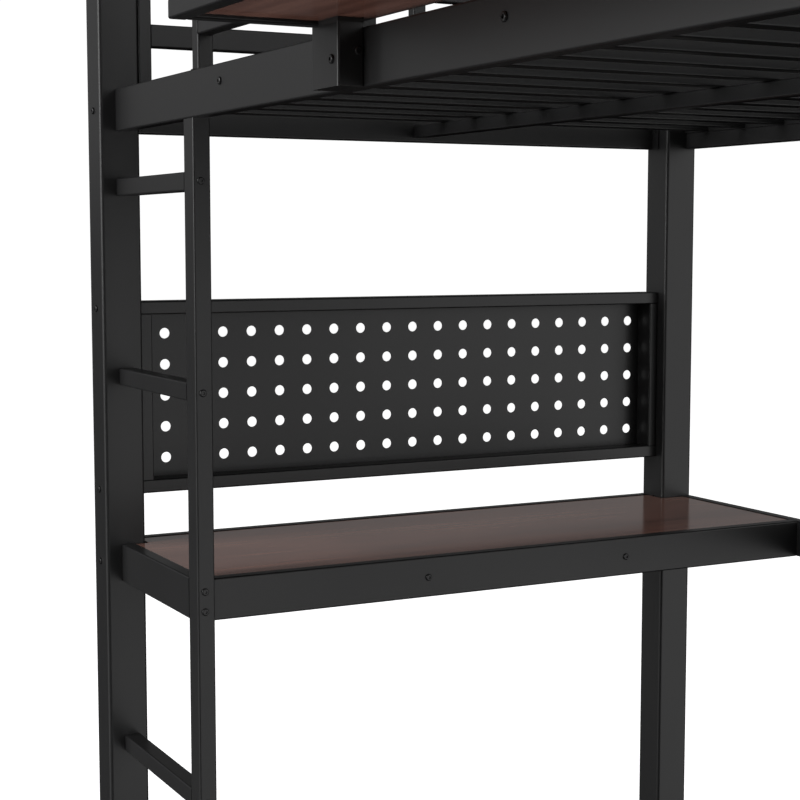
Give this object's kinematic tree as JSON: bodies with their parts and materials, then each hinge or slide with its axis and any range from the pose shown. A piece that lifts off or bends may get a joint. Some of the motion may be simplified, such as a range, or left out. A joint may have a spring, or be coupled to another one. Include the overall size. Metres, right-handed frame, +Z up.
{
  "type": "loft bed with desk",
  "caption": "Black steel loft bed with a walnut desk, a perforated pegboard, an end ladder, tube slats, guard rails and a bedside shelf",
  "frame": {"origin": "on the floor under the middle of the whole object's bounding box, bedside shelf and bolt heads included", "axes": "+Z up, +Y along the mattress towards the end with the desk, pegboard and ladder, +X across the bed from the ladder and shelf side to the wall side"},
  "size_m": [1.2336, 1.9682, 1.8],
  "materials": {
    "frame": "gloss black powder coat",
    "sheet": "satin black powder coat",
    "board": "semi-gloss walnut laminate, grain along the board",
    "bolts": "black oxide",
    "plastic": "matt",
    "rubber": "matt"
  },
  "bodies": {
    "root": {"bracket_screws": "bolts", "cap_front_left": "plastic", "cap_front_right": "plastic", "cap_rear_left": "plastic", "cap_rear_right": "plastic", "centre_beam": "frame", "desk_board": "board", "desk_bolts": "bolts", "desk_front_rail": "frame", "desk_left_rail": "frame", "desk_rear_rail": "frame", "desk_support_1": "frame", "desk_support_2": "frame", "foot_front_left": "plastic", "foot_front_right": "plastic", "foot_ladder": "plastic", "foot_rear_left": "plastic", "foot_rear_right": "plastic", "front_beam": "frame", "front_guard": "frame", "front_stretcher": "frame", "guard_bolts": "bolts", "ladder_bolts": "bolts", "ladder_rung_1": "frame", "ladder_rung_2": "frame", "ladder_rung_3": "frame", "ladder_rung_4": "frame", "ladder_upright": "frame", "left_guard": "frame", "pegboard_frame": "frame", "pegboard_sheet": "sheet", "post_bolts": "bolts", "post_front_left": "frame", "post_front_right": "frame", "post_rear_left": "frame", "post_rear_right": "frame", "rear_beam": "frame", "rear_guard": "frame", "right_guard": "frame", "right_stretcher": "frame", "shelf_board": "board", "shelf_bolts": "bolts", "shelf_bracket_front": "frame", "shelf_bracket_rear": "frame", "shelf_frame": "frame", "shelf_pads": "rubber", "side_rail_left": "frame", "side_rail_right": "frame", "slat_strip_left": "frame", "slat_strip_right": "frame", "slats": "frame", "strip_bolts": "bolts", "upright_bolt": "bolts"}
  },
  "joints": []
}
